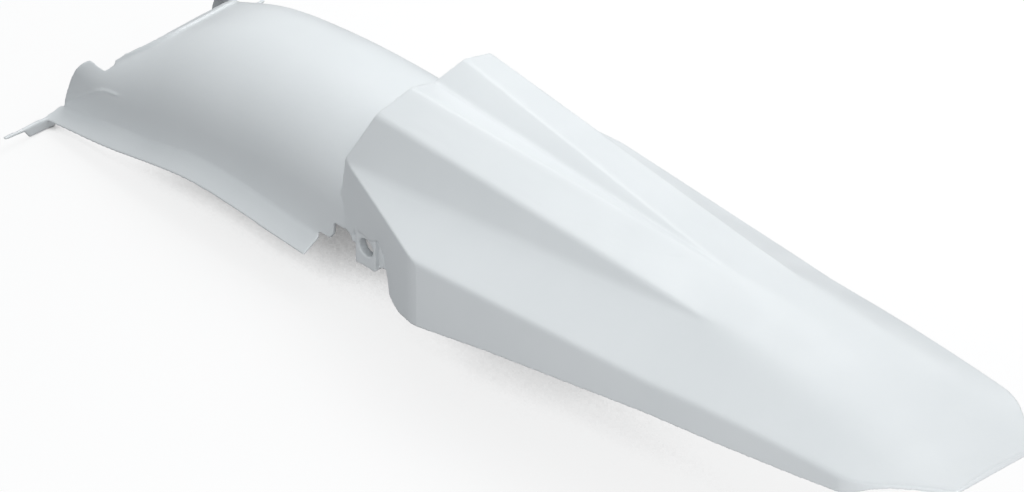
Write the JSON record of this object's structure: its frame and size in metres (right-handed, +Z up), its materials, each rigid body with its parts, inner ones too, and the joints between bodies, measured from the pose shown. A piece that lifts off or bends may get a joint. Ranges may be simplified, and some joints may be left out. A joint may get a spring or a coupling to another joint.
{
  "type": "motorcycle rear fender",
  "caption": "Moulded off-road motorcycle rear fender: a round wheel arch with side flanges stepping up to a ridged, tapering tail blade with deep side skirts.",
  "frame": {"origin": "midway between the two side bolt holes, on their common axis", "axes": "+X rearward along the fender to its tail, +Y to the rider's right along the bolt axis, +Z up"},
  "size_m": [0.7414, 0.207, 0.1496],
  "materials": {
    "rear_fender": "white moulded polypropylene, satin gloss"
  },
  "bodies": {
    "root": {"rear_fender": "rear_fender"}
  },
  "joints": []
}
